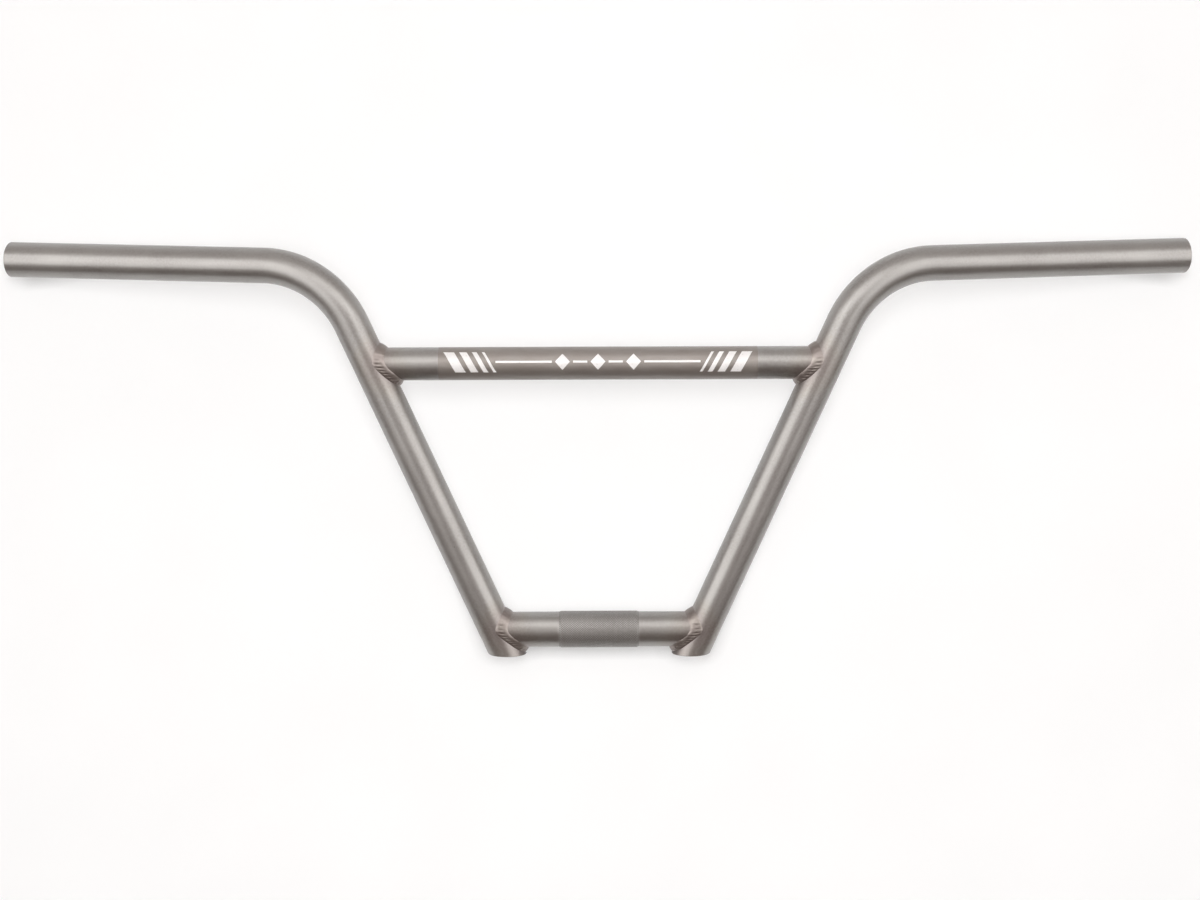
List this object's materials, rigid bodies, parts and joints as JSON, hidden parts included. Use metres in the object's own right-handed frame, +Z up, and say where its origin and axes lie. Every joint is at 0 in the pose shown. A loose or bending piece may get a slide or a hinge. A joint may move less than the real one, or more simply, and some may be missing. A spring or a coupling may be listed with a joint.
{
  "type": "bmx handlebar",
  "caption": "Tall welded steel BMX handlebar with bent side tubes, a crossbar, a knurled clamp tube and swept-back open-ended grip areas.",
  "frame": {"origin": "centre of the clamp tube, on its axis, midway between the legs", "axes": "+X along the clamp tube towards the right grip as the picture shows it, +Y back towards the rider, the way the grips sweep, +Z up the rise"},
  "size_m": [0.7532, 0.0623, 0.26],
  "materials": {
    "tube_steel": "raw steel under a satin clear coat",
    "weld_steel": "rippled bead under the same clear coat"
  },
  "bodies": {
    "root": {"left_side_tube": "tube_steel", "right_side_tube": "tube_steel", "crossbar": "tube_steel", "clamp_tube": "tube_steel", "crossbar_welds": "weld_steel", "clamp_welds": "weld_steel"}
  },
  "joints": []
}
